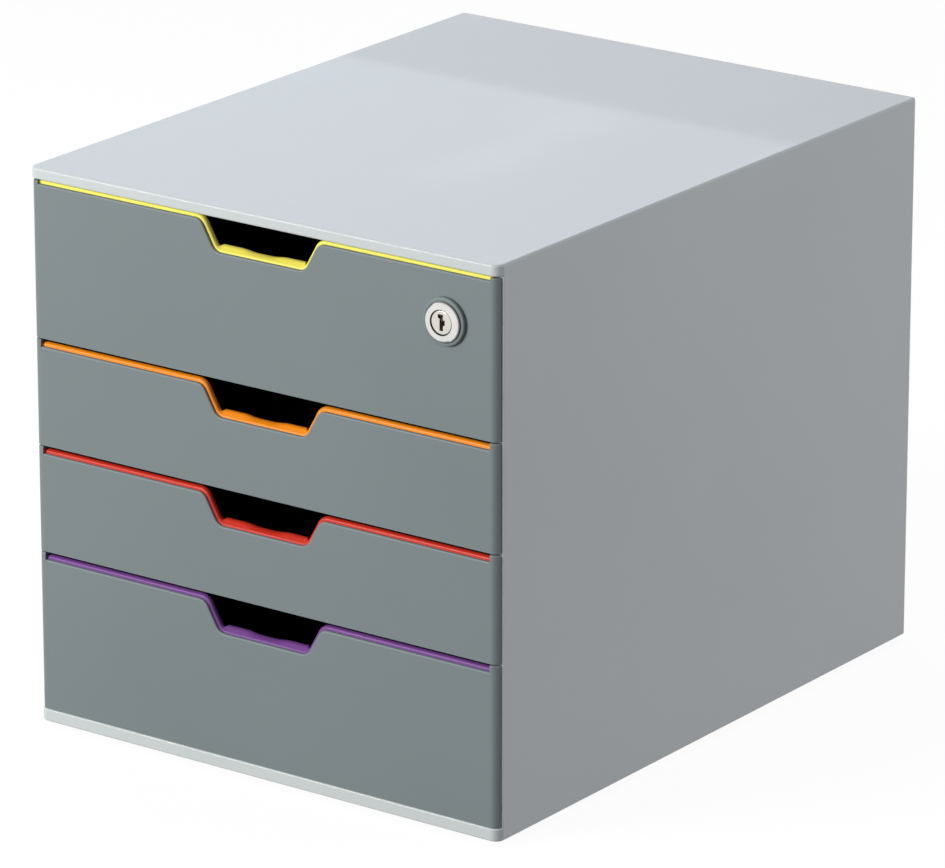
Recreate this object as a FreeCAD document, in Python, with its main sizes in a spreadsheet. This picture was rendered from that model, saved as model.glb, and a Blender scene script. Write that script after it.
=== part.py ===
"""Desktop drawer cabinet: a plastic casing with four sliding drawers and a cam lock."""
import FreeCAD, Part
import os
import Sketcher

doc = FreeCAD.newDocument("DrawerCabinet")
Vector = FreeCAD.Vector

# Driving dimensions in millimetres. Depths are measured back from the front plane of the casing.
sizes = {
    # casing
    "body_width": 280.0,
    "body_depth": 356.0,
    "module_pitch": 27.45,
    "foot_height": 3.0,
    "foot_radius": 10.0,
    "foot_inset": 24.0,
    "lid_nose_height": 5.8,
    "base_nose_height": 6.5,
    "nose_depth": 3.8,
    "beam_depth": 6.2,
    "plate_thickness": 2.0,
    "wall_thickness": 2.4,
    "wall_edge_radius": 0.5,
    "front_corner_radius": 4.8,
    "rear_corner_radius": 2.0,
    "lid_edge_radius": 1.2,
    "base_edge_radius": 0.8,
    "lip_thickness": 1.6,
    "lip_height": 3.0,
    "lip_clearance": 0.1,
    "flange_width": 11.0,
    "flange_thickness": 2.2,
    "jamb_width": 1.8,
    "jamb_depth": 2.6,
    "window_height": 14.4,
    "window_rise": 0.8,
    # rails and stops on the side walls
    "rail_rise": 17.0,
    "rail_width": 5.4,
    "rail_thickness": 2.0,
    "rail_start": 12.0,
    "rail_rear_gap": 18.0,
    "lug_start": 30.0,
    "lug_length": 6.0,
    "lug_width": 4.2,
    "lug_height": 3.0,
    # back panel
    "back_thickness": 2.0,
    "back_inset": 2.2,
    "back_clearance": 0.3,
    "back_recess": 0.7,
    "recess_margin": 26.0,
    "vent_length": 34.0,
    "vent_width": 3.0,
    "vent_pitch": 9.0,
    "vent_drop": 58.0,
    # drawer fronts
    "front_gap": 4.3,
    "bottom_gap": 0.3,
    "lid_gap": 2.2,
    "front_side_gap": 0.6,
    "front_setback": 0.3,
    "front_depth": 2.9,
    "front_plate": 1.5,
    "front_side_radius": 4.4,
    "front_edge_radius": 0.9,
    "notch_floor_half": 26.7,
    "notch_run": 8.6,
    "notch_depth": 15.0,
    "notch_radius": 6.0,
    "ear_width": 4.8,
    "ear_gap": 0.7,
    "ear_lap": 1.0,
    # coloured strips
    "strip_depth": 5.4,
    "strip_thickness": 1.6,
    "strip_proud": 2.9,
    "top_strip_proud": 1.8,
    "strip_seat": 0.4,
    "strip_outer_bend": 7.0,
    "strip_inner_bend": 5.5,
    "strip_floor_proud": 0.5,
    "strip_inset": 0.6,
    "strip_side": 1.85,
    "strip_end_gap": 0.3,
    "strip_end_radius": 0.7,
    "skirt_height": 4.0,
    "skirt_thickness": 1.4,
    "lip_rise": 2.4,
    "lip_rear": 1.3,
    # trays
    "tray_wall": 1.8,
    "tray_floor": 1.8,
    "tray_front_wall": 2.0,
    "tray_lift": 2.2,
    "tray_clearance": 1.2,
    "tray_rear_gap": 16.0,
    "tray_corner_radius": 4.0,
    "rim_clearance": 0.6,
    "rim_thickness": 1.6,
    "rim_start": 9.0,
    "rail_clearance": 0.3,
    "tab_height": 3.0,
    "tab_length": 10.0,
    "tab_inset": 4.0,
    # lock
    "lock_inset": 30.1,
    "lock_drop": 24.0,
    "collar_radius": 12.0,
    "collar_height": 2.0,
    "bezel_radius": 10.0,
    "bezel_height": 1.8,
    "bezel_bevel": 1.1,
    "sleeve_radius": 8.0,
    "sleeve_end": 14.0,
    "sleeve_clearance": 0.1,
    "plug_radius": 5.8,
    "plug_clearance": 0.3,
    "plug_recess": 0.4,
    "key_height": 8.0,
    "key_width": 2.0,
    "key_ward": 4.0,
    "key_depth": 8.0,
    "nut_half": 10.5,
    "nut_thickness": 3.5,
    "cam_gap": 0.4,
    "cam_thickness": 2.0,
    "cam_length": 22.0,
    "cam_half_width": 6.0,
    "cam_screw_radius": 1.45,
    "cam_screw_length": 7.0,
    "cam_head_radius": 3.2,
    "cam_head_height": 2.0,
    "strike_half": 12.0,
    "strike_thickness": 1.6,
    "strike_start": 11.0,
    "strike_leg": 13.0,
    "strike_drop": 13.0,
    # screws
    "screw_radius": 1.5,
    "screw_head_radius": 3.0,
    "screw_head_height": 1.6,
    "screw_length": 3.4,
    "screw_clearance": 0.1,
    "screw_cross": 1.7,
    "screw_slot": 0.35,
    "screw_recess": 0.9,
    "strike_screw_length": 3.0,
    "strike_screw_offset": 7.0,
}

sheet = doc.addObject("Spreadsheet::Sheet", "Sizes")
for row, (alias, number) in enumerate(sizes.items(), start=1):
    sheet.set("A%d" % row, alias)
    sheet.set("B%d" % row, str(number))
    sheet.setAlias("B%d" % row, alias)
doc.recompute()


class Dim:
    """A size with its number and the expression that binds it to the sheet."""

    def __init__(self, value, text):
        self.value = value
        self.text = text

    def join(self, other, sign, value, swap=False):
        text = other.text if isinstance(other, Dim) else repr(float(other))
        first, second = (text, self.text) if swap else (self.text, text)
        return Dim(value, "(%s %s %s)" % (first, sign, second))

    def __add__(self, other):
        return self.join(other, "+", self.value + number(other))

    def __sub__(self, other):
        return self.join(other, "-", self.value - number(other))

    def __mul__(self, other):
        return self.join(other, "*", self.value * number(other))

    def __truediv__(self, other):
        return self.join(other, "/", self.value / number(other))

    def __radd__(self, other):
        return self.join(other, "+", other + self.value, True)

    def __rsub__(self, other):
        return self.join(other, "-", other - self.value, True)

    def __rmul__(self, other):
        return self.join(other, "*", other * self.value, True)

    def __neg__(self):
        return Dim(-self.value, "(-1 * %s)" % self.text)


def number(item):
    return item.value if isinstance(item, Dim) else item


class Named:
    """Hands out each cell of the sheet as a Dim by its alias."""

    def __getattr__(self, alias):
        return Dim(sizes[alias], "Sizes.%s" % alias)


s = Named()
zero = Dim(0.0, "0")


def bind(item, prop, dim):
    item.setExpression(prop, dim.text)


def newBody(label):
    body = doc.addObject("PartDesign::Body", "Body_" + label)
    body.Label = label
    return body


def newSketch(body, name, plane, level):
    """Sketch on one of the body's own origin planes, moved along the plane's normal to level."""
    sketch = body.newObject("Sketcher::SketchObject", name)
    support = [f for f in body.Origin.OriginFeatures if f.Role == plane][0]
    sketch.AttachmentSupport = [(support, "")]
    sketch.MapMode = "FlatFace"
    sketch.AttachmentOffset = FreeCAD.Placement(Vector(0, 0, level.value), FreeCAD.Rotation())
    bind(sketch, "AttachmentOffset.Base.z", level)
    return sketch


def fixPoint(sketch, geo, spot, point):
    """Holds one sketch point at its two coordinates."""
    for letter, axis, dim in (("X", -2, point[0]), ("Y", -1, point[1])):
        if dim.value == 0:
            sketch.addConstraint(Sketcher.Constraint("PointOnObject", geo, spot, axis))
            continue
        index = sketch.addConstraint(
            Sketcher.Constraint("Distance" + letter, -1, 1, geo, spot, dim.value))
        bind(sketch, "Constraints[%d]" % index, dim)


def addLoop(sketch, points):
    """Closed polygon whose every corner is bound."""
    first = sketch.GeometryCount
    count = len(points)
    for k in range(count):
        start, end = points[k], points[(k + 1) % count]
        sketch.addGeometry(Part.LineSegment(Vector(start[0].value, start[1].value, 0),
                                            Vector(end[0].value, end[1].value, 0)), False)
    for k in range(count):
        after = first + (k + 1) % count
        sketch.addConstraint(Sketcher.Constraint("Coincident", first + k, 2, after, 1))
    for k in range(count):
        fixPoint(sketch, first + k, 1, points[k])


def addCircle(sketch, centre, radius):
    geo = sketch.addGeometry(Part.Circle(Vector(centre[0].value, centre[1].value, 0),
                                         Vector(0, 0, 1), radius.value), False)
    fixPoint(sketch, geo, 3, centre)
    index = sketch.addConstraint(Sketcher.Constraint("Radius", geo, radius.value))
    bind(sketch, "Constraints[%d]" % index, radius)


def rectangle(x0, x1, y0, y1):
    return [(x0, y0), (x1, y0), (x1, y1), (x0, y1)]


def mirrored(loop):
    """The same loop on the other side of the cabinet's middle plane."""
    return [(-x, y) for x, y in reversed(loop)]


def pad(sketch, length, name):
    body = sketch.getParentGeoFeatureGroup()
    feature = body.newObject("PartDesign::Pad", name)
    feature.Profile = sketch
    feature.Length = length.value
    bind(feature, "Length", length)
    sketch.Visibility = False
    doc.recompute()
    return feature


def pocket(sketch, length, name):
    """Cut that runs along the sketch's normal."""
    body = sketch.getParentGeoFeatureGroup()
    before = body.Shape.Volume
    feature = body.newObject("PartDesign::Pocket", name)
    feature.Profile = sketch
    feature.Reversed = True
    feature.Length = length.value
    bind(feature, "Length", length)
    doc.recompute()
    if feature.Shape.Volume > before - 0.01:
        raise RuntimeError("%s cuts nothing" % name)
    return feature


def dress(body, kind, name, prop, dim, wanted):
    """Fillet or chamfer on the edges of the body's tip that pass the test."""
    base = body.Tip
    edges = ["Edge%d" % (k + 1) for k, edge in enumerate(base.Shape.Edges) if wanted(edge)]
    if not edges:
        raise RuntimeError("%s finds no edge" % name)
    feature = body.newObject("PartDesign::" + kind, name)
    feature.Base = (base, edges)
    setattr(feature, prop, dim.value)
    bind(feature, prop, dim)
    doc.recompute()
    if "Invalid" in feature.State:
        raise RuntimeError("%s can't be made on %s" % (name, edges))
    return feature


def fillet(body, name, radius, wanted):
    return dress(body, "Fillet", name, "Radius", radius, wanted)


def chamfer(body, name, size, wanted):
    return dress(body, "Chamfer", name, "Size", size, wanted)


def near(value, dim, slack=0.01):
    return abs(value - dim.value) < slack


def runsAlong(edge, axis):
    """True for a straight edge parallel to the axis numbered 0, 1 or 2."""
    if not isinstance(edge.Curve, Part.Line):
        return False
    return abs(abs(edge.Curve.Direction[axis]) - 1) < 1e-6


def liesIn(edge, axis, dim):
    """True when the whole edge lies in the plane where that coordinate equals dim."""
    return all(near(point[axis], dim) for point in edge.discretize(5))


# Levels and planes shared by the pieces.
halfWidth = s.body_width / 2
lockStand = s.collar_height - s.front_setback + s.bezel_height
frontY = (lockStand - s.body_depth) / 2


def back(depth):
    """Y of a plane that lies depth behind the front plane."""
    return frontY + depth


moduleCount = 10
bottomZ = s.foot_height
baseTopZ = bottomZ + s.plate_thickness
firstZ = bottomZ + s.base_nose_height + s.bottom_gap
noseUnderZ = firstZ + moduleCount * s.module_pitch - s.front_gap + s.lid_gap
topZ = noseUnderZ + s.lid_nose_height
lidUnderZ = topZ - s.plate_thickness
wallInner = halfWidth - s.wall_thickness
backFaceY = back(s.body_depth)
panelRearY = back(s.body_depth - s.back_inset)
panelFrontY = panelRearY - s.back_thickness
railEnd = s.body_depth - s.rail_rear_gap
trayBack = s.body_depth - s.tray_rear_gap
trayHalf = wallInner - s.rail_width - s.tray_clearance
rimHalf = wallInner - s.jamb_width - s.rim_clearance
frontWidth = halfWidth - s.front_side_gap
earInner = frontWidth - s.ear_width
recessHalf = earInner + s.ear_lap
stripHalf = recessHalf - s.strip_end_gap
lockX = frontWidth - s.lock_inset
lockZ = firstZ + moduleCount * s.module_pitch - s.front_gap - s.lock_drop
lockSpot = (lockX, lockZ)
screwHole = s.screw_radius + s.screw_clearance
rearScrewX = wallInner - s.flange_width / 2
rearScrewZ = [baseTopZ + 20, (baseTopZ + lidUnderZ) / 2, lidUnderZ - 20]
baseScrewX = rearScrewX
baseScrewY = [back(60), back(s.body_depth / 2), back(s.body_depth - 60)]
plateBack = s.front_setback + s.front_plate
strikeUnderZ = noseUnderZ - s.strike_thickness
strikeScrewY = back(s.strike_start + s.strike_leg / 2 + s.strike_thickness / 2)

nodes = []

# Each drawer by its lowest module and how many modules it fills, from the top down.
drawers = [(7, 3), (5, 2), (3, 2), (0, 3)]


def edgePoints(panelTop, rise, floorRise, inset):
    """Right half of a line that follows the front's notched top edge, from the mouth inwards."""
    lean = s.notch_run / s.notch_depth
    mouth = s.notch_floor_half + s.notch_run + rise * lean - inset
    floor = s.notch_floor_half + floorRise * lean - inset
    return [(mouth, panelTop + rise), (floor, panelTop - s.notch_depth + floorRise)]


def notchedTop(panelTop, half, rise, floorRise, inset):
    """Whole notched top line from the right end to the left end."""
    right = edgePoints(panelTop, rise, floorRise, inset)
    left = [(-x, z) for x, z in reversed(right)]
    return [(half, panelTop + rise)] + right + left + [(-half, panelTop + rise)]


def makeLid():
    body = newBody("top_cover")
    full = rectangle(-halfWidth, halfWidth, back(zero), backFaceY)
    sketch = newSketch(body, "LidPlateOutline", "XY_Plane", lidUnderZ)
    addLoop(sketch, full)
    pad(sketch, s.plate_thickness, "LidPlate")
    sketch = newSketch(body, "LidNoseOutline", "XY_Plane", noseUnderZ)
    addLoop(sketch, rectangle(-halfWidth, halfWidth, back(zero), back(s.nose_depth)))
    pad(sketch, topZ - noseUnderZ, "LidNose")
    inner = wallInner - s.lip_clearance
    sketch = newSketch(body, "LidBeamOutline", "XY_Plane", noseUnderZ)
    addLoop(sketch, rectangle(-inner, inner, back(zero) + s.nose_depth / 2,
                              back(s.nose_depth + s.beam_depth)))
    pad(sketch, lidUnderZ - noseUnderZ, "LidBeam")
    sketch = newSketch(body, "LidLipOutline", "XY_Plane", lidUnderZ - s.lip_height)
    lip = rectangle(inner - s.lip_thickness, inner, back(s.rail_start), back(railEnd))
    addLoop(sketch, lip)
    addLoop(sketch, mirrored(lip))
    pad(sketch, s.lip_height, "LidLips")
    sketch = newSketch(body, "StrikeSeatOutline", "XY_Plane", noseUnderZ)
    addLoop(sketch, rectangle(lockX - s.strike_half, lockX + s.strike_half,
                              back(s.strike_start + s.strike_thickness),
                              back(s.strike_start + s.strike_thickness + s.strike_leg)))
    pad(sketch, lidUnderZ - noseUnderZ, "StrikeSeat")
    sketch = newSketch(body, "StrikeHoleOutline", "XY_Plane", noseUnderZ)
    for side in (-1, 1):
        addCircle(sketch, (lockX + side * s.strike_screw_offset, strikeScrewY), screwHole)
    pocket(sketch, s.strike_screw_length, "StrikeHoles")
    fillet(body, "LidFrontCorners", s.front_corner_radius,
           lambda e: runsAlong(e, 2) and liesIn(e, 1, back(zero)))
    fillet(body, "LidRearCorners", s.rear_corner_radius,
           lambda e: runsAlong(e, 2) and liesIn(e, 1, backFaceY))
    fillet(body, "LidTopEdge", s.lid_edge_radius, lambda e: liesIn(e, 2, topZ))
    fillet(body, "LidNoseEdge", s.base_edge_radius,
           lambda e: liesIn(e, 2, noseUnderZ) and liesIn(e, 1, back(zero)))
    nodes.append(body)


def makeBase():
    body = newBody("base_plate")
    full = rectangle(-halfWidth, halfWidth, back(zero), backFaceY)
    sketch = newSketch(body, "BasePlateOutline", "XY_Plane", bottomZ)
    addLoop(sketch, full)
    pad(sketch, s.plate_thickness, "BasePlate")
    sketch = newSketch(body, "BaseNoseOutline", "XY_Plane", bottomZ)
    addLoop(sketch, rectangle(-halfWidth, halfWidth, back(zero), back(s.nose_depth)))
    pad(sketch, s.base_nose_height, "BaseNose")
    inner = wallInner - s.lip_clearance
    sketch = newSketch(body, "BaseBeamOutline", "XY_Plane", bottomZ)
    addLoop(sketch, rectangle(-inner, inner, back(zero) + s.nose_depth / 2,
                              back(s.nose_depth + s.beam_depth)))
    pad(sketch, s.base_nose_height, "BaseBeam")
    sketch = newSketch(body, "BaseHoleOutline", "XY_Plane", bottomZ)
    for y in baseScrewY:
        addCircle(sketch, (baseScrewX, y), screwHole)
        addCircle(sketch, (-baseScrewX, y), screwHole)
    pocket(sketch, s.plate_thickness, "BaseHoles")
    fillet(body, "BaseFrontCorners", s.front_corner_radius,
           lambda e: runsAlong(e, 2) and liesIn(e, 1, back(zero)))
    fillet(body, "BaseRearCorners", s.rear_corner_radius,
           lambda e: runsAlong(e, 2) and liesIn(e, 1, backFaceY))
    fillet(body, "BaseBottomEdge", s.base_edge_radius,
           lambda e: liesIn(e, 2, bottomZ) and not isHoleRim(e))
    fillet(body, "BaseNoseEdge", s.base_edge_radius,
           lambda e: liesIn(e, 2, bottomZ + s.base_nose_height) and liesIn(e, 1, back(zero)))
    nodes.append(body)


def isHoleRim(edge):
    return isinstance(edge.Curve, Part.Circle) and edge.isClosed()


def makeSideWall(label, side):
    """Side wall with drawer rails, stop lugs, a front jamb and flanges for the screws."""
    body = newBody(label)

    def across(distance):
        """X at that distance inwards from the outer face."""
        return side * (halfWidth - distance)

    sketch = newSketch(body, "WallOutline", "XY_Plane", baseTopZ)
    addLoop(sketch, rectangle(across(zero), across(s.wall_thickness),
                              back(s.nose_depth), backFaceY))
    pad(sketch, lidUnderZ - baseTopZ, "Wall")
    sketch = newSketch(body, "RearFlangeOutline", "XY_Plane", baseTopZ)
    addLoop(sketch, rectangle(across(s.wall_thickness / 2),
                              across(s.wall_thickness + s.flange_width),
                              panelFrontY - s.flange_thickness, panelFrontY))
    pad(sketch, lidUnderZ - s.lip_height - baseTopZ, "RearFlange")
    sketch = newSketch(body, "FootFlangeOutline", "XY_Plane", baseTopZ)
    addLoop(sketch, rectangle(across(s.wall_thickness / 2),
                              across(s.wall_thickness + s.flange_width),
                              back(s.rail_start), panelFrontY - s.flange_thickness / 2))
    pad(sketch, s.flange_thickness, "FootFlange")
    sketch = newSketch(body, "JambOutline", "XY_Plane", bottomZ + s.base_nose_height)
    addLoop(sketch, rectangle(across(s.wall_thickness / 2), across(s.wall_thickness + s.jamb_width),
                              back(s.nose_depth), back(s.nose_depth + s.jamb_depth)))
    pad(sketch, noseUnderZ - bottomZ - s.base_nose_height, "Jamb")
    for index, (first, count) in enumerate(drawers):
        if count < 3:
            continue
        low = firstZ + (first + 1) * s.module_pitch + s.window_rise
        sketch = newSketch(body, "WindowOutline%d" % index, "XY_Plane", low)
        addLoop(sketch, rectangle(across(s.wall_thickness),
                                  across(s.wall_thickness + s.jamb_width + 1),
                                  back(s.nose_depth) - 1,
                                  back(s.nose_depth + s.jamb_depth + 1)))
        pocket(sketch, s.window_height, "Window%d" % index)
    sketch = newSketch(body, "RearHoleOutline", "XZ_Plane", -panelFrontY)
    for z in rearScrewZ:
        addCircle(sketch, (side * rearScrewX, z), screwHole)
    pocket(sketch, s.flange_thickness, "RearHoles")
    sketch = newSketch(body, "FootHoleOutline", "XY_Plane", baseTopZ)
    for y in baseScrewY:
        addCircle(sketch, (side * baseScrewX, y), screwHole)
    pocket(sketch, s.flange_thickness, "FootHoles")
    fillet(body, "WallRearCorner", s.rear_corner_radius,
           lambda e: runsAlong(e, 2) and liesIn(e, 1, backFaceY) and liesIn(e, 0, across(zero)))
    fillet(body, "WallFrontEdge", s.wall_edge_radius,
           lambda e: runsAlong(e, 2) and liesIn(e, 1, back(s.nose_depth))
           and liesIn(e, 0, across(zero)))
    railTop = firstZ + s.rail_rise
    sketch = newSketch(body, "RailOutline", "XY_Plane", railTop - s.rail_thickness)
    addLoop(sketch, rectangle(across(s.wall_thickness / 2), across(s.wall_thickness + s.rail_width),
                              back(s.rail_start), back(railEnd)))
    rail = pad(sketch, s.rail_thickness, "Rail")
    lugZ = railTop + s.rail_clearance * 2 + s.rim_thickness + 0.5
    sketch = newSketch(body, "LugOutline", "XY_Plane", lugZ)
    addLoop(sketch, rectangle(across(s.wall_thickness / 2), across(s.wall_thickness + s.lug_width),
                              back(s.lug_start), back(s.lug_start + s.lug_length)))
    lug = pad(sketch, s.lug_height, "Lug")
    pattern = body.newObject("PartDesign::LinearPattern", "RailRows")
    pattern.Originals = [rail, lug]
    pattern.Direction = ([f for f in body.Origin.OriginFeatures if f.Role == "Z_Axis"][0], [""])
    pattern.Occurrences = moduleCount
    pattern.Mode = "Spacing"
    pattern.Offset = s.module_pitch.value
    bind(pattern, "Offset", s.module_pitch)
    body.Tip = pattern
    doc.recompute()
    nodes.append(body)


def makeBack():
    body = newBody("back_panel")
    half = wallInner - s.back_clearance
    low = baseTopZ + s.back_clearance
    high = lidUnderZ - s.back_clearance
    sketch = newSketch(body, "BackOutline", "XZ_Plane", -panelRearY)
    addLoop(sketch, rectangle(-half, half, low, high))
    pad(sketch, s.back_thickness, "Back")
    sketch = newSketch(body, "BackFieldOutline", "XZ_Plane", -panelRearY)
    addLoop(sketch, rectangle(s.recess_margin - half, half - s.recess_margin,
                              low + s.recess_margin, high - s.recess_margin))
    pocket(sketch, s.back_recess, "BackField")
    sketch = newSketch(body, "BackHoleOutline", "XZ_Plane", -panelRearY)
    for z in rearScrewZ:
        addCircle(sketch, (rearScrewX, z), screwHole)
        addCircle(sketch, (-rearScrewX, z), screwHole)
    pocket(sketch, s.back_thickness, "BackHoles")
    sketch = newSketch(body, "VentOutline", "XZ_Plane", -panelRearY)
    start = -2.5 * s.vent_pitch - s.vent_width / 2
    addLoop(sketch, rectangle(start, start + s.vent_width,
                              high - s.vent_drop - s.vent_length, high - s.vent_drop))
    vent = pocket(sketch, s.back_thickness, "Vent")
    pattern = body.newObject("PartDesign::LinearPattern", "VentRow")
    pattern.Originals = [vent]
    pattern.Direction = ([f for f in body.Origin.OriginFeatures if f.Role == "X_Axis"][0], [""])
    pattern.Occurrences = 6
    pattern.Mode = "Spacing"
    pattern.Offset = s.vent_pitch.value
    bind(pattern, "Offset", s.vent_pitch)
    body.Tip = pattern
    doc.recompute()
    fillet(body, "VentEnds", s.vent_width / 2 - 0.05,
           lambda e: runsAlong(e, 1) and abs(e.BoundBox.XMin) < 3.2 * s.vent_pitch.value
           and e.BoundBox.ZMax > (high - s.vent_drop - s.vent_length).value - 0.1
           and e.BoundBox.ZMax < (high - s.vent_drop).value + 0.1)
    nodes.append(body)


def crossLoop(x, y):
    """Plus-shaped driver recess of a screw head."""
    arm, half = s.screw_cross, s.screw_slot
    return [(x - half, y - arm), (x + half, y - arm), (x + half, y - half), (x + arm, y - half),
            (x + arm, y + half), (x + half, y + half), (x + half, y + arm), (x - half, y + arm),
            (x - half, y + half), (x - arm, y + half), (x - arm, y - half), (x - half, y - half)]


def makeScrews(label, plane, spots, headLevel, inward, length):
    """Screws in one node: heads that start at headLevel, with shanks on their inward side."""
    body = newBody(label)
    body.AllowCompound = True
    headStart = headLevel - s.screw_head_height if inward > 0 else headLevel
    sketch = newSketch(body, "HeadOutline", plane, headStart)
    for spot in spots:
        addCircle(sketch, spot, s.screw_head_radius)
    pad(sketch, s.screw_head_height, "Heads")
    shankStart = headLevel if inward > 0 else headLevel - length
    sketch = newSketch(body, "ShankOutline", plane, shankStart)
    for spot in spots:
        addCircle(sketch, spot, s.screw_radius)
    pad(sketch, length, "Shanks")
    crossStart = headStart if inward > 0 else headLevel + s.screw_head_height - s.screw_recess
    sketch = newSketch(body, "CrossOutline", plane, crossStart)
    for x, y in spots:
        addLoop(sketch, crossLoop(x, y))
    pocket(sketch, s.screw_recess, "Crosses")
    outer = headStart if inward > 0 else headLevel + s.screw_head_height
    axis = 2 if plane == "XY_Plane" else 1
    level = outer if axis == 2 else -outer
    fillet(body, "HeadEdges", s.screw_head_height / 3,
           lambda e: liesIn(e, axis, level) and isHoleRim(e))
    nodes.append(body)


def makeFeet():
    rear = s.body_depth - s.foot_inset
    for name, side, depth in (("foot_front_left", -1, s.foot_inset),
                              ("foot_front_right", 1, s.foot_inset),
                              ("foot_rear_left", -1, rear), ("foot_rear_right", 1, rear)):
        body = newBody(name)
        sketch = newSketch(body, "FootOutline", "XY_Plane", zero)
        addCircle(sketch, (side * (halfWidth - s.foot_inset), back(depth)), s.foot_radius)
        pad(sketch, s.foot_height, "Foot")
        fillet(body, "FootEdge", s.foot_height / 3, lambda e: liesIn(e, 2, zero))
        nodes.append(body)


def makeFront(place, first, count, room):
    """Grey drawer front with rounded sides, the finger notch and raised ends beside the strip.

    room is the height between the front's top edge and what lies above it.
    """
    low = firstZ + first * s.module_pitch
    top = low + count * s.module_pitch - s.front_gap
    earTop = top + room - s.ear_gap
    body = newBody("drawer_front_%d" % place)
    frontFaceY = back(s.front_setback)
    rearFaceY = back(s.front_setback + s.front_depth)
    blockDepth = s.front_side_radius + s.front_depth
    blockRearY = back(s.front_setback) + blockDepth
    sketch = newSketch(body, "FrontOutline", "XZ_Plane", -blockRearY)
    addLoop(sketch, [(-frontWidth, low), (frontWidth, low), (frontWidth, earTop), (earInner, earTop)]
            + notchedTop(top, earInner, zero, zero, zero)
            + [(-earInner, earTop), (-frontWidth, earTop)])
    pad(sketch, blockDepth, "Front")
    fillet(body, "NotchBends", s.notch_radius,
           lambda e: runsAlong(e, 1) and abs(e.BoundBox.XMin) < frontWidth.value / 2)
    fillet(body, "SideCorners", s.front_side_radius,
           lambda e: runsAlong(e, 2) and liesIn(e, 1, frontFaceY)
           and near(abs(e.BoundBox.XMin), frontWidth))
    if place == 1:
        sketch = newSketch(body, "CollarOutline", "XZ_Plane", -back(plateBack))
        addCircle(sketch, lockSpot, s.collar_radius)
        pad(sketch, s.front_plate + s.collar_height, "Collar")
        fillet(body, "CollarEdge", s.collar_height / 2,
               lambda e: liesIn(e, 1, back(s.front_setback - s.collar_height)))
    fillet(body, "FrontEdge", s.front_edge_radius,
           lambda e: liesIn(e, 1, frontFaceY) and not isHoleRim(e) and not runsAlong(e, 2)
           and e.BoundBox.ZMax > (low + s.front_edge_radius).value)
    sketch = newSketch(body, "TrimOutline", "XZ_Plane", -blockRearY)
    addLoop(sketch, rectangle(-halfWidth, halfWidth, low - 1, earTop + 1))
    pocket(sketch, s.front_side_radius, "Trim")
    sketch = newSketch(body, "RecessOutline", "XZ_Plane", -rearFaceY)
    addLoop(sketch, rectangle(-recessHalf, recessHalf, low - 1, earTop + 1))
    pocket(sketch, s.front_depth - s.front_plate, "Recess")
    if place == 1:
        sketch = newSketch(body, "LockHoleOutline", "XZ_Plane", -rearFaceY)
        addCircle(sketch, lockSpot, s.sleeve_radius + s.sleeve_clearance)
        pocket(sketch, s.front_depth + s.collar_height, "LockHole")
    nodes.append(body)
    return low, top


def makeStrip(place, top, proud):
    """Coloured cap that follows the front's top edge, with a skirt and a lip in the notch."""
    body = newBody("accent_strip_%d" % place)
    half = stripHalf
    under = -s.strip_seat
    floorUnder = s.strip_floor_proud - s.strip_thickness
    rearY = back(plateBack + s.strip_depth)
    upper = notchedTop(top, half, proud, s.strip_floor_proud, s.strip_inset)
    lower = notchedTop(top, half, under, floorUnder, s.strip_inset - s.strip_side)
    skirt = notchedTop(top, half, under - s.skirt_height, floorUnder - s.skirt_height,
                       s.strip_inset - s.strip_side - s.skirt_height)
    sketch = newSketch(body, "CapOutline", "XZ_Plane", -rearY)
    addLoop(sketch, upper + list(reversed(lower)))
    pad(sketch, s.strip_depth, "Cap")
    upperZ = [(top + proud).value, (top - s.notch_depth + floorUnder).value]
    fillet(body, "OuterBends", s.strip_outer_bend,
           lambda e: runsAlong(e, 1) and abs(e.BoundBox.XMin) < half.value / 2
           and min(abs(e.BoundBox.ZMin - z) for z in upperZ) < 0.01)
    fillet(body, "InnerBends", s.strip_inner_bend,
           lambda e: runsAlong(e, 1) and abs(e.BoundBox.XMin) < half.value / 2)
    fillet(body, "EndCorners", s.strip_end_radius,
           lambda e: runsAlong(e, 1) and near(abs(e.BoundBox.XMin), half))
    sketch = newSketch(body, "LipOutline", "XZ_Plane", -rearY)
    lipTop = top - s.notch_depth + s.strip_floor_proud + s.lip_rise
    lean = s.notch_run / s.notch_depth
    reach = s.notch_floor_half - s.strip_inset + (s.strip_floor_proud + s.lip_rise) * lean
    lipLow = top - s.notch_depth + s.strip_floor_proud - s.strip_thickness / 2
    lowReach = s.notch_floor_half - s.notch_radius
    addLoop(sketch, [(-lowReach, lipLow), (lowReach, lipLow), (reach, lipTop), (-reach, lipTop)])
    pad(sketch, s.lip_rear, "Lip")
    frontWallY = plateBack + s.tray_front_wall
    sketch = newSketch(body, "SkirtOutline", "XZ_Plane", -back(frontWallY + s.skirt_thickness))
    addLoop(sketch, lower + list(reversed(skirt)))
    pad(sketch, s.skirt_thickness, "Skirt")
    nodes.append(body)


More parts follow.
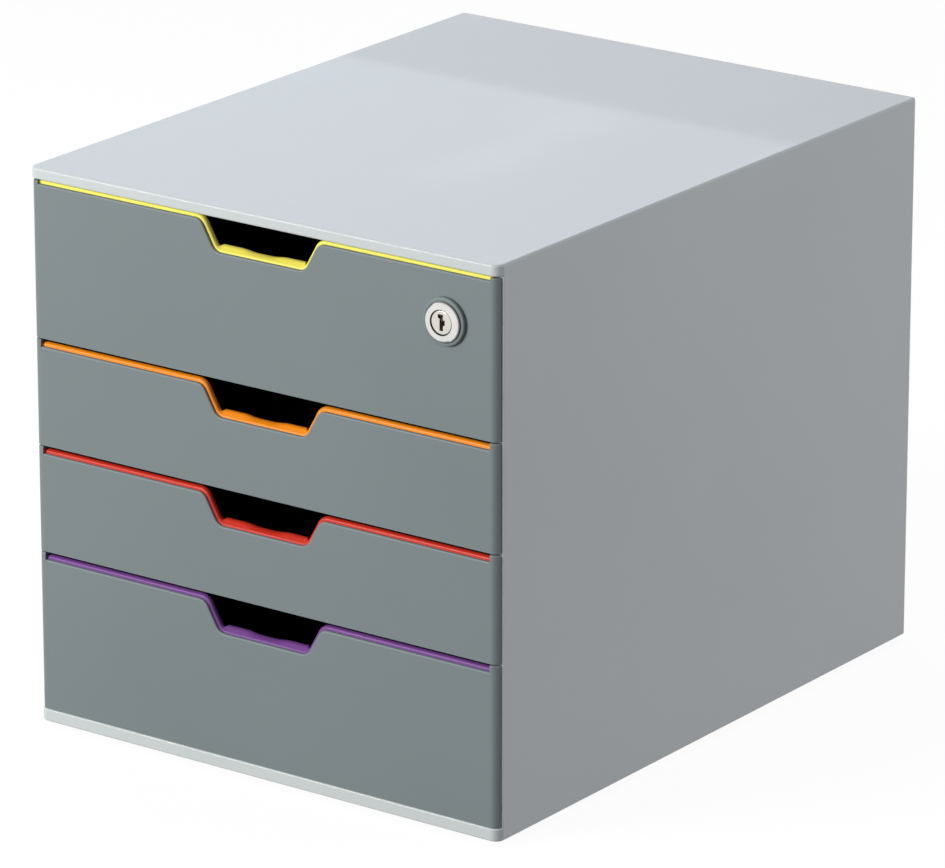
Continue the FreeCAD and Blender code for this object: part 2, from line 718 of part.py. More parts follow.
def makeTray(place, first, count, low, top):
    """Open tray that hangs by its side rims on the rails."""
    body = newBody("drawer_tray_%d" % place)
    floorZ = low + s.tray_lift
    railTop = firstZ + (first + count - 1) * s.module_pitch + s.rail_rise
    rimZ = railTop + s.rail_clearance
    rimTop = rimZ + s.rim_thickness
    wallBack = back(plateBack + s.tray_front_wall)
    rearY = back(trayBack)
    sketch = newSketch(body, "TrayOutline", "XY_Plane", floorZ)
    addLoop(sketch, rectangle(-trayHalf, trayHalf, wallBack, rearY))
    pad(sketch, rimTop - floorZ, "Tray")
    fillet(body, "TrayRearCorners", s.tray_corner_radius,
           lambda e: runsAlong(e, 2) and liesIn(e, 1, rearY))
    sketch = newSketch(body, "HollowOutline", "XY_Plane", floorZ + s.tray_floor)
    inner = trayHalf - s.tray_wall
    addLoop(sketch, rectangle(-inner, inner, wallBack - 1, rearY - s.tray_wall))
    pocket(sketch, rimTop - floorZ, "Hollow")
    fillet(body, "HollowCorners", s.tray_corner_radius - s.tray_wall,
           lambda e: runsAlong(e, 2) and liesIn(e, 1, rearY - s.tray_wall))
    sketch = newSketch(body, "FrontWallOutline", "XZ_Plane", -wallBack)
    half = stripHalf
    under = -s.strip_seat
    floorUnder = s.strip_floor_proud - s.strip_thickness
    addLoop(sketch, [(-half, floorZ), (half, floorZ)]
            + notchedTop(top, half, under, floorUnder, s.strip_inset - s.strip_side))
    pad(sketch, s.tray_front_wall, "FrontWall")
    underZ = (top - s.notch_depth + floorUnder).value
    fillet(body, "FloorBends", s.strip_outer_bend,
           lambda e: runsAlong(e, 1) and abs(e.BoundBox.ZMin - underZ) < 0.01)
    fillet(body, "MouthBends", s.strip_inner_bend,
           lambda e: runsAlong(e, 1) and near(e.BoundBox.ZMin, top + under)
           and abs(e.BoundBox.XMin) < half.value / 2)
    sketch = newSketch(body, "RimOutline", "XY_Plane", rimZ)
    rim = rectangle(trayHalf - s.tray_wall / 2, rimHalf, back(s.rim_start),
                    back(trayBack - s.tray_corner_radius))
    addLoop(sketch, rim)
    addLoop(sketch, mirrored(rim))
    pad(sketch, s.rim_thickness, "Rims")
    sketch = newSketch(body, "TabOutline", "XY_Plane", rimTop - s.rim_thickness / 2)
    tabStart = trayBack - s.tray_corner_radius - s.tab_inset - s.tab_length
    tab = rectangle(trayHalf, rimHalf, back(tabStart), back(tabStart + s.tab_length))
    addLoop(sketch, tab)
    addLoop(sketch, mirrored(tab))
    pad(sketch, s.tab_height + s.rim_thickness / 2, "StopTabs")
    if place == 1:
        sketch = newSketch(body, "LockHoleOutline", "XZ_Plane", -wallBack)
        addCircle(sketch, lockSpot, s.sleeve_radius + s.sleeve_clearance)
        pocket(sketch, s.tray_front_wall, "LockHole")
    nodes.append(body)


def makeLock():
    collarFace = s.front_setback - s.collar_height
    bezelFace = collarFace - s.bezel_height
    body = newBody("lock_housing")
    sketch = newSketch(body, "BezelOutline", "XZ_Plane", -back(collarFace))
    addCircle(sketch, lockSpot, s.bezel_radius)
    pad(sketch, s.bezel_height, "Bezel")
    chamfer(body, "BezelBevel", s.bezel_bevel, lambda e: liesIn(e, 1, back(bezelFace)))
    sketch = newSketch(body, "SleeveOutline", "XZ_Plane", -back(s.sleeve_end))
    addCircle(sketch, lockSpot, s.sleeve_radius)
    pad(sketch, s.sleeve_end - collarFace + s.bezel_height / 2, "Sleeve")
    sketch = newSketch(body, "BoreOutline", "XZ_Plane", -back(s.sleeve_end))
    addCircle(sketch, lockSpot, s.plug_radius + s.plug_clearance)
    pocket(sketch, s.sleeve_end - bezelFace, "Bore")
    nodes.append(body)

    plugFace = bezelFace + s.plug_recess
    plugEnd = s.sleeve_end + s.cam_gap
    body = newBody("lock_barrel")
    sketch = newSketch(body, "PlugOutline", "XZ_Plane", -back(plugEnd))
    addCircle(sketch, lockSpot, s.plug_radius)
    pad(sketch, plugEnd - plugFace, "Plug")
    fillet(body, "PlugEdge", s.plug_clearance, lambda e: liesIn(e, 1, back(plugFace)))
    sketch = newSketch(body, "KeywayOutline", "XZ_Plane", -back(plugFace + s.key_depth))
    x, z = lockSpot
    half, ward, tall = s.key_width / 2, s.key_ward / 2, s.key_height / 2
    addLoop(sketch, [(x - half, z - tall), (x + half, z - tall), (x + half, z - tall / 3),
                     (x + ward, z - tall / 3), (x + ward, z + tall / 3), (x + half, z + tall / 3),
                     (x + half, z + tall), (x - ward, z + tall), (x - ward, z + tall / 2),
                     (x - half, z + tall / 2)])
    pocket(sketch, s.key_depth, "Keyway")
    sketch = newSketch(body, "CamHoleOutline", "XZ_Plane", -back(plugEnd))
    addCircle(sketch, lockSpot, s.cam_screw_radius + s.screw_clearance)
    pocket(sketch, s.cam_screw_length - s.cam_thickness + 0.5, "CamHole")
    nodes.append(body)

    nutFront = plateBack + s.tray_front_wall
    body = newBody("lock_nut")
    sketch = newSketch(body, "NutOutline", "XZ_Plane", -back(nutFront + s.nut_thickness))
    tip, flat = s.nut_half * 1.1547, s.nut_half * 0.57735
    addLoop(sketch, [(x + tip, z), (x + flat, z + s.nut_half), (x - flat, z + s.nut_half),
                     (x - tip, z), (x - flat, z - s.nut_half), (x + flat, z - s.nut_half)])
    pad(sketch, s.nut_thickness, "Nut")
    sketch = newSketch(body, "NutBoreOutline", "XZ_Plane", -back(nutFront + s.nut_thickness))
    addCircle(sketch, lockSpot, s.sleeve_radius + s.sleeve_clearance)
    pocket(sketch, s.nut_thickness, "NutBore")
    nodes.append(body)

    camEnd = plugEnd + s.cam_thickness
    body = newBody("lock_cam")
    sketch = newSketch(body, "CamHubOutline", "XZ_Plane", -back(camEnd))
    addCircle(sketch, lockSpot, s.plug_radius + s.plug_clearance)
    pad(sketch, s.cam_thickness, "CamHub")
    sketch = newSketch(body, "CamArmOutline", "XZ_Plane", -back(camEnd))
    narrow = s.cam_half_width * 0.7
    addLoop(sketch, [(x, z - s.cam_half_width), (x, z + s.cam_half_width),
                     (x - s.cam_length, z + narrow), (x - s.cam_length, z - narrow)])
    pad(sketch, s.cam_thickness, "CamArm")
    fillet(body, "CamTip", s.cam_half_width / 3,
           lambda e: runsAlong(e, 1) and near(e.BoundBox.XMin, x - s.cam_length))
    sketch = newSketch(body, "CamBoreOutline", "XZ_Plane", -back(camEnd))
    addCircle(sketch, lockSpot, s.cam_screw_radius + s.screw_clearance)
    pocket(sketch, s.cam_thickness, "CamBore")
    nodes.append(body)

    body = newBody("cam_screw")
    sketch = newSketch(body, "CamHeadOutline", "XZ_Plane", -back(camEnd + s.cam_head_height))
    addCircle(sketch, lockSpot, s.cam_head_radius)
    pad(sketch, s.cam_head_height, "CamHead")
    sketch = newSketch(body, "CamShankOutline", "XZ_Plane", -back(camEnd))
    addCircle(sketch, lockSpot, s.cam_screw_radius)
    pad(sketch, s.cam_screw_length, "CamShank")
    sketch = newSketch(body, "CamCrossOutline", "XZ_Plane", -back(camEnd + s.cam_head_height))
    addLoop(sketch, crossLoop(x, z))
    pocket(sketch, s.screw_recess, "CamCross")
    nodes.append(body)


def makeStrike():
    body = newBody("lock_strike")
    sketch = newSketch(body, "StrikeOutline", "YZ_Plane", lockX - s.strike_half)
    start = back(s.strike_start)
    inner = start + s.strike_thickness
    end = inner + s.strike_leg
    bottom = noseUnderZ - s.strike_drop
    addLoop(sketch, [(start, bottom), (inner, bottom), (inner, strikeUnderZ), (end, strikeUnderZ),
                     (end, noseUnderZ), (start, noseUnderZ)])
    pad(sketch, s.strike_half * 2, "Strike")
    fillet(body, "StrikeBend", s.strike_thickness * 0.8,
           lambda e: runsAlong(e, 0) and liesIn(e, 1, start) and liesIn(e, 2, noseUnderZ))
    fillet(body, "StrikeCorners", s.strike_thickness * 2,
           lambda e: runsAlong(e, 1) and liesIn(e, 2, bottom))
    sketch = newSketch(body, "StrikeHoleOutline", "XY_Plane", strikeUnderZ)
    for side in (-1, 1):
        addCircle(sketch, (lockX + side * s.strike_screw_offset, strikeScrewY), screwHole)
    pocket(sketch, s.strike_thickness, "StrikeHoles")
    nodes.append(body)


makeLid()
makeBase()
makeSideWall("side_wall_left", -1)
makeSideWall("side_wall_right", 1)
makeBack()
makeFeet()
makeScrews("back_screws", "XZ_Plane",
           [(side * rearScrewX, z) for side in (-1, 1) for z in rearScrewZ],
           -panelRearY, 1, s.screw_length)
makeScrews("base_screws", "XY_Plane",
           [(side * baseScrewX, y) for side in (-1, 1) for y in baseScrewY],
           bottomZ, 1, s.screw_length)
for place, (first, count) in enumerate(drawers, start=1):
    low, top = makeFront(place, first, count, s.lid_gap if place == 1 else s.front_gap)
    makeStrip(place, top, s.top_strip_proud if place == 1 else s.strip_proud)
    makeTray(place, first, count, low, top)
makeLock()
makeStrike()
makeScrews("strike_screws", "XY_Plane",
           [(lockX + side * s.strike_screw_offset, strikeScrewY) for side in (-1, 1)],
           strikeUnderZ, 1, s.strike_screw_length)

doc.recompute()
for item in doc.Objects:
    if "Invalid" in item.State or "Error" in item.State:
        raise RuntimeError("%s failed: %s" % (item.Label, item.State))
os.makedirs("parts", exist_ok=True)
for body in nodes:
    shape = body.Shape
    if shape.isNull() or not shape.isValid():
        raise RuntimeError("%s has no valid shape" % body.Label)
    shape.exportStep("parts/%s.step" % body.Label)
    print("%-18s solids %d volume %9.0f" % (body.Label, len(shape.Solids), shape.Volume))
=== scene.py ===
# Desktop drawer cabinet: finishes, coloured caps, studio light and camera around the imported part.
import math
import bpy
import numpy as np
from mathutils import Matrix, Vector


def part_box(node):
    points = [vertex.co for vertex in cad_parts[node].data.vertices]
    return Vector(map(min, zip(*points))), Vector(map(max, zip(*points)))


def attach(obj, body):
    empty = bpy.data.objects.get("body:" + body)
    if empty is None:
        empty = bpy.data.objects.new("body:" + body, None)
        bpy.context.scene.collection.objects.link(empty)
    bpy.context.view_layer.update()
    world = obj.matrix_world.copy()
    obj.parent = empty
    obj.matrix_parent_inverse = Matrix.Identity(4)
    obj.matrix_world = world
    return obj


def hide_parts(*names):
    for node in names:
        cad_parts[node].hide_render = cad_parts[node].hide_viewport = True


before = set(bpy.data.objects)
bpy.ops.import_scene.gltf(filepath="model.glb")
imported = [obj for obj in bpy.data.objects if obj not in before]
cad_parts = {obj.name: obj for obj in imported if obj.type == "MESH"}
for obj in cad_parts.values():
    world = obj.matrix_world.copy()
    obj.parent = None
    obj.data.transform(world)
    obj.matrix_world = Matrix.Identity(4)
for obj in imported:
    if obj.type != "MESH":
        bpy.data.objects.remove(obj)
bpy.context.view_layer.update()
print("part loaded:", len(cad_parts), "nodes")


class Wire:
    # One output socket. Arithmetic on it adds Math nodes to its tree.
    def __init__(self, tree, socket):
        self.tree = tree
        self.socket = socket

    def calc(self, operation, *values):
        return self.tree.calc(operation, *values)

    def __add__(self, other):
        return self.calc("ADD", self, other)

    def __radd__(self, other):
        return self.calc("ADD", other, self)

    def __sub__(self, other):
        return self.calc("SUBTRACT", self, other)

    def __rsub__(self, other):
        return self.calc("SUBTRACT", other, self)

    def __mul__(self, other):
        return self.calc("MULTIPLY", self, other)

    def __rmul__(self, other):
        return self.calc("MULTIPLY", other, self)

    def __pow__(self, other):
        return self.calc("POWER", self, other)

    def clamped(self):
        return self.tree.node("ShaderNodeClamp", {}, {0: self})

    def over(self, low, high):
        # 0 at low, 1 at high and held beyond them, straight in between
        return self.tree.node("ShaderNodeMapRange", {"clamp": True},
                              {"Value": self, "From Min": low, "From Max": high})


class Tree:
    # The node tree of one material or of the world.
    def __init__(self, owner):
        owner.use_nodes = True
        self.nodes = owner.node_tree.nodes
        self.links = owner.node_tree.links
        self.nodes.clear()

    def node(self, kind, settings, sockets, out=0):
        made = self.nodes.new(kind)
        for name, value in settings.items():
            setattr(made, name, value)
        for key, value in sockets.items():
            if isinstance(value, Wire):
                self.links.new(value.socket, made.inputs[key])
            else:
                made.inputs[key].default_value = value
        return Wire(self, made.outputs[out]) if len(made.outputs) else None

    def calc(self, operation, *values):
        return self.node("ShaderNodeMath", {"operation": operation}, dict(enumerate(values)))

    def place(self):
        # Object coordinates, in metres
        return self.node("ShaderNodeTexCoord", {}, {}, "Object")

    def split(self, vector):
        parts = self.node("ShaderNodeSeparateXYZ", {}, {0: vector})
        return [Wire(self, s) for s in parts.socket.node.outputs]

    def noise(self, vector, scale, detail=3.0, roughness=0.5):
        return self.node("ShaderNodeTexNoise", {}, {"Vector": vector, "Scale": scale,
                                                    "Detail": detail, "Roughness": roughness})

    def scaled(self, vector, scale):
        # each axis times its own number, so that a larger one makes the pattern finer on it
        return self.node("ShaderNodeMapping", {}, {"Vector": vector, "Scale": scale})

    def blend(self, factor, first, second):
        # colour mix: first at 0, second at 1
        return self.node("ShaderNodeMix", {"data_type": "RGBA"},
                         {0: factor, 6: first, 7: second}, 2)

    def shades(self, factor, base, dark, light):
        # one colour in two shades: times dark at 0, times light at 1
        return self.blend(factor, colour(*base, scale=dark), colour(*base, scale=light))

    def bump(self, height, distance):
        return self.node("ShaderNodeBump", {}, {"Height": height, "Distance": distance})

    def principled(self, sockets):
        shader = self.node("ShaderNodeBsdfPrincipled", {}, sockets)
        self.node("ShaderNodeOutputMaterial", {}, {"Surface": shader})


def colour(red, green, blue, scale=1.0):
    return (red * scale, green * scale, blue * scale, 1.0)


def newMaterial(name):
    material = bpy.data.materials.new(name)
    return material, Tree(material)


# Moulded plastics. tint is the spread of the colour, spread that of the roughness, and smear how
# much smoother the streaks of handling are. grain is the depth in metres of the spark-eroded
# texture and grainScale its fineness per metre. coat is a thin clear gloss, coatRough its
# roughness. The four coloured strips share stripLook.
stripLook = {"tint": 0.03, "rough": 0.34, "spread": 0.08, "grain": 0.000006,
             "grainScale": 2600.0, "smear": 0.04, "specular": 0.25}
plastics = {
    "housingPlastic": {"base": (0.600, 0.652, 0.646), "tint": 0.03, "rough": 0.46, "spread": 0.10,
                       "grain": 0.000012, "grainScale": 2200.0, "smear": 0.06, "specular": 0.26,
                       "coat": 0.22, "coatRough": 0.03},
    "frontPlastic": {"base": (0.171, 0.208, 0.214), "tint": 0.04, "rough": 0.50, "spread": 0.10,
                     "grain": 0.000014, "grainScale": 2000.0, "smear": 0.05, "specular": 0.45},
    "trayPlastic": {"base": (0.040, 0.043, 0.044), "tint": 0.08, "rough": 0.48, "spread": 0.12,
                    "grain": 0.000014, "grainScale": 1800.0, "smear": 0.06, "specular": 0.4},
    "yellowStrip": {"base": (0.930, 0.830, 0.115), **stripLook},
    "orangeStrip": {"base": (0.985, 0.288, 0.009), **stripLook},
    "redStrip": {"base": (0.640, 0.034, 0.016), **stripLook},
    "purpleStrip": {"base": (0.190, 0.062, 0.285), **stripLook},
}
# The same on every plastic: scales per metre, how far the specks stray from the colour and how much
# of them shows, and how much of the broad cloud lies in the relief beside the grain.
mould = {"cloudScale": 9.0, "streakScale": (14.0, 5.0, 30.0), "streakEdges": (0.54, 0.72),
         "speckTint": 0.06, "speckShare": 0.35, "cloudRelief": 0.4}


def plastic(name):
    # a cloudy colour with fine specks, roughness with streaks of handling, and moulded grain
    look = plastics[name]
    material, tree = newMaterial(name)
    place = tree.place()
    broad = tree.noise(place, mould["cloudScale"], 4.0)
    grain = tree.noise(place, look["grainScale"], 2.0, 0.6)
    streaks = tree.noise(tree.scaled(place, mould["streakScale"]), 1.0, 5.0, 0.62)
    smears = streaks.over(*mould["streakEdges"])
    cloudy = tree.shades(broad.over(0.3, 0.7), look["base"], 1.0 - look["tint"], 1.0 + look["tint"])
    speck = tree.shades(grain.over(0.35, 0.65), look["base"],
                        1.0 - mould["speckTint"], 1.0 + mould["speckTint"])
    base = tree.blend(mould["speckShare"], cloudy, speck)
    rough = look["rough"] + (broad - 0.5) * look["spread"] - smears * look["smear"]
    normal = tree.bump(grain + broad * mould["cloudRelief"], look["grain"])
    tree.principled({"Base Color": base, "Roughness": rough, "Normal": normal,
                     "Specular IOR Level": look["specular"], "Coat Weight": look.get("coat", 0.0),
                     "Coat Roughness": look.get("coatRough", 0.03)})
    return material


# Metals. scale is the fineness of the polish lines per metre, finer multiplies it on each axis and
# depth is their depth in metres. Each seam is a ring around the lock's axis, radius and half width
# in metres, where painted shade of the gap, with some dirt, darkens the edge of a round piece.
metals = {
    "chromePlate": {"base": (0.76, 0.75, 0.725), "rough": 0.10, "spread": 0.08, "scale": 160.0,
                    "depth": 0.000004, "finer": (1.0, 1.0, 1.0),
                    "seams": [(0.0061, 0.00035), (0.0100, 0.0006)]},
    "nickelPlug": {"base": (0.62, 0.59, 0.54), "rough": 0.26, "spread": 0.14, "scale": 900.0,
                   "depth": 0.000006, "finer": (1.0, 1.0, 6.0),
                   "seams": [(0.0059, 0.0003)]},
    "zincSteel": {"base": (0.55, 0.55, 0.53), "rough": 0.34, "spread": 0.20, "scale": 420.0,
                  "depth": 0.000008, "finer": (1.0, 4.0, 1.0)},
}
# The same on every metal: the cloud's scale per metre, its two shades, and how dark the painted
# shade and dirt of the seams make the colour.
polish = {"cloudScale": 60.0, "dull": 0.93, "bright": 1.05, "seamShadeAndDirt": 0.25}

# The lock's axis runs through the middle of its plug.
lockVertices = np.array([v.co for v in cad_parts["lock_barrel"].data.vertices])
lockAxis = (lockVertices.min(0) + lockVertices.max(0)) / 2


def metal(name):
    # a clouded colour, polish lines in the roughness and relief, and dark rings of painted shade
    # and dirt in the seams
    look = metals[name]
    material, tree = newMaterial(name)
    place = tree.place()
    lines = tree.noise(tree.scaled(place, look["finer"]), look["scale"], 4.0, 0.6)
    cloud = tree.noise(place, polish["cloudScale"], 3.0)
    base = tree.shades(cloud.over(0.35, 0.65), look["base"], polish["dull"], polish["bright"])
    if "seams" in look:
        x, _, z = tree.split(place)
        radius = ((x - lockAxis[0]) ** 2.0 + (z - lockAxis[2]) ** 2.0) ** 0.5
        for seam, half in look["seams"]:
            # 1 within half of the half width, 0 beyond all of it
            onSeam = tree.calc("ABSOLUTE", radius - seam).over(half, half * 0.5)
            # painted shade: the colour is darkened on the seam's ring, where the gap between parts
            # lies in shade; some dirt too
            base = tree.blend(onSeam, base, colour(*look["base"], scale=polish["seamShadeAndDirt"]))
    rough = look["rough"] + (lines - 0.5) * look["spread"]
    tree.principled({"Base Color": base, "Metallic": 1.0, "Roughness": rough,
                     "Normal": tree.bump(lines, look["depth"])})
    return material


# Rubber of the feet, with dust in patches; grain is its depth in metres, scales are per metre.
feet = {"base": (0.020, 0.020, 0.021), "dust": (0.10, 0.098, 0.092), "dustShare": 0.35,
        "dustScale": 120.0, "dustEdges": (0.5, 0.75), "rough": 0.72, "spread": 0.15,
        "grain": 0.00002, "grainScale": 1500.0}


def rubber():
    material, tree = newMaterial("footRubber")
    place = tree.place()
    grain = tree.noise(place, feet["grainScale"], 3.0)
    dust = tree.noise(place, feet["dustScale"], 4.0).over(*feet["dustEdges"])
    base = tree.blend(dust * feet["dustShare"], colour(*feet["base"]), colour(*feet["dust"]))
    tree.principled({"Base Color": base, "Roughness": feet["rough"] + grain * feet["spread"],
                     "Normal": tree.bump(grain, feet["grain"])})
    return material


finishes = {name: plastic(name) for name in plastics}
finishes.update({name: metal(name) for name in metals})
finishes["footRubber"] = rubber()
print("finishes made:", len(finishes))

# Which finish each node takes, by the start of its name.
nodeFinish = [
    ("top_cover", "housingPlastic"), ("base_plate", "housingPlastic"),
    ("side_wall", "housingPlastic"), ("back_panel", "housingPlastic"),
    ("drawer_front", "frontPlastic"), ("drawer_tray", "trayPlastic"),
    ("accent_strip_1", "yellowStrip"), ("accent_strip_2", "orangeStrip"),
    ("accent_strip_3", "redStrip"), ("accent_strip_4", "purpleStrip"),
    ("lock_housing", "chromePlate"), ("lock_barrel", "nickelPlug"),
    ("lock_", "zincSteel"), ("back_screws", "zincSteel"), ("base_screws", "zincSteel"),
    ("strike_screws", "zincSteel"), ("cam_screw", "zincSteel"), ("foot_", "footRubber"),
]
for name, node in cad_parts.items():
    finish = next(f for start, f in nodeFinish if name.startswith(start))
    node.data.materials.clear()
    node.data.materials.append(finishes[finish])
print("nodes dressed")

# Coloured caps on the fronts' top edges, in metres where nothing else is said.
# high: height above that edge, from the top drawer down; notchHigh: the same in the notch, reached
#   after notchEase down its side; proud: how far the strip's own box stands above the edge.
# deep: the depth; floorDeep: depth on the notch's floor, given up over floorReach from the middle.
# rim: rise of the rear rim on that floor, least up to the first scoop and most from the second.
# seat: how far the bead's foot sinks into the front. The bead's section is in shares of its height
#   and depth: flat is where its dome begins, domeDeep where it ends, rearDepth and rearHeight the
#   points behind it, and riseOver the stretch of depth over which the rim rises.
# notch: the front's cut-out: half its floor, run and drop of its sides, radius of its bends.
# taper: length of the rounded ends, which keep endHigh of the height; step: spacing along the edge.
caps = {
    "high": (0.0018, 0.0020, 0.0020, 0.0020), "proud": (0.0018, 0.0029, 0.0029, 0.0029),
    "notchHigh": 0.0016, "notchEase": 0.005,
    "deep": 0.0024, "floorDeep": 0.0042, "floorReach": (0.0252, 0.0268),
    "rim": (0.0005, 0.0014), "scoop": (0.004, 0.014), "riseOver": (0.05, 0.72),
    "seat": 0.0006, "flat": 0.35, "domeDeep": 0.82,
    "rearDepth": (0.94, 1.0, 1.0), "rearHeight": (1.0, 0.8, 0.0),
    "notch": {"floorHalf": 0.0267, "run": 0.0086, "drop": 0.0150, "bend": 0.0060},
    "taper": 0.0012, "endHigh": 0.1, "step": 0.0005, "bendPoints": 14, "domePoints": 8,
    "sharpAngle": 38.0,
}


def smooth(value, low, high):
    # 0 below low, 1 above high, an S-shaped curve in between
    part = np.clip((value - low) / (high - low), 0.0, 1.0)
    return part * part * (3.0 - 2.0 * part)


def roundedLine(corners, bend, step):
    # straight runs joined by arcs that touch them: points along the line and their left normals
    corners = np.asarray(corners)
    points, normals, start = [], [], corners[0]
    for before, corner, after in zip(corners[:-2], corners[1:-1], corners[2:]):
        come, leave = corner - before, after - corner
        come, leave = come / np.linalg.norm(come), leave / np.linalg.norm(leave)
        turn = math.atan2(come[0] * leave[1] - come[1] * leave[0], come @ leave)
        left = np.array([-come[1], come[0]])
        touch = corner - come * bend * math.tan(abs(turn) / 2)
        centre = touch + left * bend * np.sign(turn)
        along = np.linspace(0.0, 1.0, max(2, int(np.linalg.norm(touch - start) / step)))[:-1, None]
        points.append(start + (touch - start) * along)
        normals.append(np.repeat(left[None], len(along), 0))
        angle = np.linspace(0.0, turn, caps["bendPoints"])[:-1, None]
        turned = left * np.cos(angle) - come * np.sin(angle)
        points.append(centre - turned * bend * np.sign(turn))
        normals.append(turned)
        start = corner + leave * bend * math.tan(abs(turn) / 2)
    left = np.array([-leave[1], leave[0]])
    along = np.linspace(0.0, 1.0, int(np.linalg.norm(corners[-1] - start) / step))[:, None]
    points.append(start + (corners[-1] - start) * along)
    normals.append(np.repeat(left[None], len(along), 0))
    return np.concatenate(points), np.concatenate(normals)


def makeCap(place, finish):
    # a rounded bead swept along the front's notched top edge: the first parameter runs along that
    # edge, the second round the bead; height goes along the edge's normal and depth along y
    node = "accent_strip_%d" % place
    (_, frontY, _), (half, _, high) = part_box(node)
    top = high - caps["proud"][place - 1]
    cut = caps["notch"]
    right = [(cut["floorHalf"], top - cut["drop"]), (cut["floorHalf"] + cut["run"], top),
             (half, top)]
    corners = [(-x, z) for x, z in reversed(right)] + right
    line, normal = roundedLine(corners, cut["bend"], caps["step"])
    away = np.abs(line[:, 0])
    inNotch = smooth(top - line[:, 1], 0.0, caps["notchEase"])
    height = caps["high"][place - 1] * (1.0 - inNotch) + caps["notchHigh"] * inNotch
    onFloor = 1.0 - smooth(away, *caps["floorReach"])
    low, most = caps["rim"]
    rise = onFloor * (low + (most - low) * smooth(away, *caps["scoop"]))
    depth = caps["deep"] + (caps["floorDeep"] - caps["deep"]) * onFloor
    ends = np.clip((half - away) / caps["taper"], 0.0, 1.0)
    full = np.maximum(np.sqrt(1.0 - (1.0 - ends) ** 2), caps["endHigh"])
    # round the bead: a flat foot, then a quarter ellipse back to the rear edge, where the rim rises
    dome = np.radians(np.linspace(0.0, 90.0, caps["domePoints"]))
    flat = caps["flat"]
    ofHeight = np.concatenate([[0.0], flat + (1.0 - flat) * np.sin(dome), caps["rearHeight"]])
    ofDepth = np.concatenate([[0.0], caps["domeDeep"] * (1.0 - np.cos(dome)), caps["rearDepth"]])
    ofRise = smooth(ofDepth, *caps["riseOver"])
    ofRise[-1] = 0.0
    up = (np.outer(height, ofHeight) + np.outer(rise, ofRise)) * full[:, None]
    up[:, [0, -1]] = -caps["seat"]
    inward = np.outer(depth, ofDepth)
    grid = np.stack([line[:, :1] + normal[:, :1] * up, frontY + inward,
                     line[:, 1:] + normal[:, 1:] * up], -1)
    rows, columns = grid.shape[:2]
    index = np.arange(rows * columns).reshape(rows, columns)
    following = np.roll(index, -1, 1)
    faces = np.stack([index[:-1], following[:-1], following[1:], index[1:]], -1).reshape(-1, 4)
    mesh = bpy.data.meshes.new("accentCap_%d" % place)
    mesh.from_pydata(grid.reshape(-1, 3).tolist(), [],
                     faces.tolist() + [index[0].tolist(), index[-1][::-1].tolist()])
    mesh.validate()
    mesh.shade_smooth()
    mesh.set_sharp_from_angle(angle=math.radians(caps["sharpAngle"]))
    mesh.materials.append(finishes[finish])
    piece = bpy.data.objects.new("accentCap_%d" % place, mesh)
    bpy.context.scene.collection.objects.link(piece)
    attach(piece, "drawer_%d" % place)
    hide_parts(node)


for place, tint in enumerate(("yellow", "orange", "red", "purple"), 1):
    makeCap(place, tint + "Strip")
print("caps made")

# worldLight is what the room gives to matt surfaces; floorTone is the floor's own colour and
# floorGlow what is added to it where the camera, metal and glass see the floor; floorHalf is half
# its side in metres. Lamps: places and sizes in metres, power in watts. The lower edge of the rear
# lamp, mirrored in the lid, draws the soft line across it.
studio = {
    "worldLight": 0.265, "roomTone": (0.99, 0.98, 1.0),
    "floorTone": 0.09, "floorGlow": 0.94, "floorHalf": 6.0,
    "key": {"place": (-1.25, -2.45, 0.95), "aim": (0.0, -0.1, 0.16),
            "size": (1.3, 1.3), "power": 76.0, "tone": (1.0, 0.998, 0.99)},
    "top": {"place": (-0.6, 0.45, 1.5), "aim": (0.0, 0.0, 0.2),
            "size": (1.2, 1.2), "power": 3.6, "tone": (0.75, 0.80, 1.0)},
    "rear": {"place": (-0.72, 0.90, 1.072), "aim": (-0.72, 0.0, 1.072),
             "size": (1.0, 1.0), "power": 4.4, "tone": (0.79, 0.83, 1.0)},
    "side": {"place": (2.1, 1.2, 0.6), "aim": (0.14, 0.0, 0.14),
             "size": (1.4, 1.4), "power": 20.5, "tone": (0.955, 0.93, 1.0)},
}


def areaLight(name):
    # a soft rectangle whose face looks from its place to its aim
    look = studio[name]
    lamp = bpy.data.lights.new(name + "Light", "AREA")
    lamp.shape = "RECTANGLE"
    lamp.size, lamp.size_y = look["size"]
    lamp.energy = look["power"]
    lamp.color = look["tone"]
    holder = bpy.data.objects.new(name + "Light", lamp)
    bpy.context.scene.collection.objects.link(holder)
    start, end = np.array(look["place"]), np.array(look["aim"])
    ahead = (end - start) / np.linalg.norm(end - start)
    holder.location = start
    holder.rotation_euler = (math.acos(-ahead[2]), 0.0, math.atan2(-ahead[0], ahead[1]))


for name in ("key", "top", "rear", "side"):
    areaLight(name)
print("lamps set")


def seesBackground(tree):
    # 1 for the rays that show the background itself: the camera's, mirror and glass rays
    path = tree.node("ShaderNodeLightPath", {}, {}, "Is Camera Ray")
    glossy, clear = (Wire(tree, path.socket.node.outputs[name])
                     for name in ("Is Glossy Ray", "Is Transmission Ray"))
    return (path + glossy + clear).clamped()


world = bpy.data.worlds.new("paleRoom")
bpy.context.scene.world = world
sky = Tree(world)
seen = seesBackground(sky)
strength = studio["worldLight"] + seen * (1.0 - studio["worldLight"])
tone = sky.blend(seen, colour(*studio["roomTone"]), colour(1.0, 1.0, 1.0))
glow = sky.node("ShaderNodeBackground", {}, {"Color": tone, "Strength": strength})
sky.node("ShaderNodeOutputWorld", {}, {"Surface": glow})


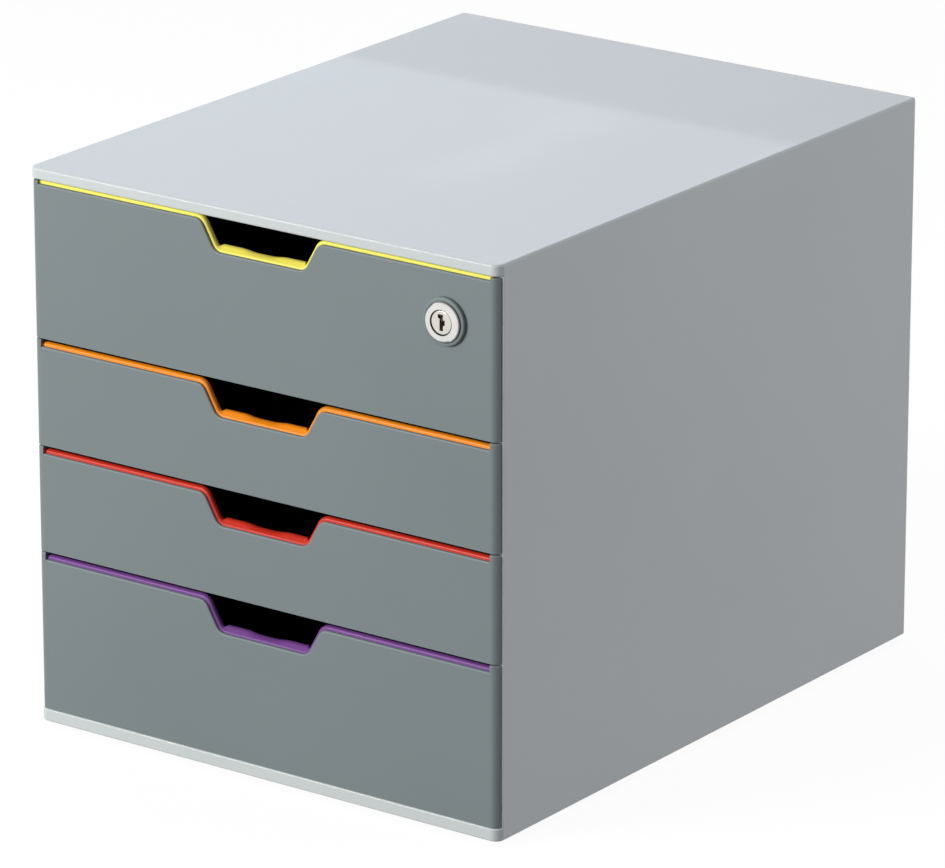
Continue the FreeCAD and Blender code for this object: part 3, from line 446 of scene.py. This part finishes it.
def makeFloor():
    # a flat square grid: x and y are the two parameters, z is zero
    side = np.array([-1.0, 1.0]) * studio["floorHalf"]
    gx, gy = np.meshgrid(side, side)
    points = np.stack([gx, gy, np.zeros_like(gx)], -1).reshape(-1, 3)
    mesh = bpy.data.meshes.new("studioFloor")
    mesh.from_pydata(points.tolist(), [], [(0, 1, 3, 2)])
    floor = bpy.data.objects.new("studioFloor", mesh)
    bpy.context.scene.collection.objects.link(floor)
    material, tree = newMaterial("studioFloor")
    tone = studio["floorTone"]
    matt = tree.node("ShaderNodeBsdfDiffuse", {}, {"Color": colour(tone, tone, tone)})
    shown = seesBackground(tree) * studio["floorGlow"]
    glow = tree.node("ShaderNodeEmission", {}, {"Color": colour(1.0, 1.0, 1.0), "Strength": shown})
    both = tree.node("ShaderNodeAddShader", {}, {0: matt, 1: glow})
    tree.node("ShaderNodeOutputMaterial", {}, {"Surface": both})
    mesh.materials.append(material)


makeFloor()


# Angles in degrees, lengths in metres, lens and sensor in millimetres; side and rise slide the
# camera within its own picture plane.
cameraLook = {"azimuth": 36.07, "elevation": 18.5, "distance": 3.367, "lens": 258.0,
              "aim": (0.0, 0.00175, 0.1455), "side": -0.0038, "rise": -0.0135,
              "sensor": 36.0, "farthest": 50.0}


def placeCamera():
    turn = math.radians(cameraLook["azimuth"])
    lift = math.radians(cameraLook["elevation"])
    backward = np.array([math.sin(turn) * math.cos(lift), -math.cos(turn) * math.cos(lift),
                         math.sin(lift)])
    right = np.array([math.cos(turn), math.sin(turn), 0.0])
    up = np.cross(backward, right)
    data = bpy.data.cameras.new("productCamera")
    data.lens = cameraLook["lens"]
    data.sensor_width = cameraLook["sensor"]
    data.clip_end = cameraLook["farthest"]
    holder = bpy.data.objects.new("productCamera", data)
    holder.location = (np.array(cameraLook["aim"]) + backward * cameraLook["distance"]
                       + right * cameraLook["side"] + up * cameraLook["rise"])
    holder.rotation_euler = (math.pi / 2 - lift, 0.0, turn)
    bpy.context.scene.collection.objects.link(holder)
    bpy.context.scene.camera = holder


placeCamera()
bpy.context.scene.view_settings.view_transform = "Standard"
print("studio ready")
